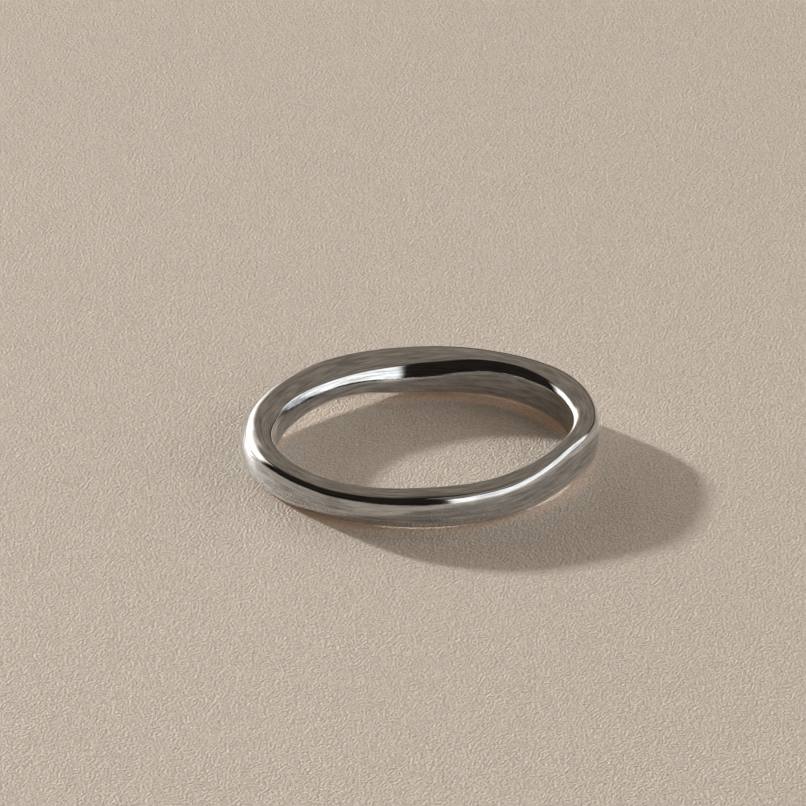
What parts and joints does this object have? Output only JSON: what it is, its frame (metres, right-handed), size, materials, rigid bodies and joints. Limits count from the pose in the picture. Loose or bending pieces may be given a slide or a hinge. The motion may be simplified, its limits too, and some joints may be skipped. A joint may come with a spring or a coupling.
{
  "type": "wedding band",
  "caption": "Hand-shaped wedding band: one closed ring of polished white metal with a round finger hole, a softly uneven outside and a wavy underside.",
  "frame": {"origin": "centre of the finger hole, half way up its trued wall to within a tenth of a millimetre", "axes": "+Z runs along the finger, out of the hole; the band lies flat on the plane z = -1.50 mm; +Y points to the widest part of the wall, which lies just counter-clockwise of it; seen from -Y the tall side is on the right"},
  "size_m": [0.0209, 0.0215, 0.0028],
  "materials": {
    "polished_silver": "hand-polished sterling silver with soft hammered-out undulations and fine polishing lines"
  },
  "bodies": {
    "root": {"band": "polished_silver"}
  },
  "joints": []
}
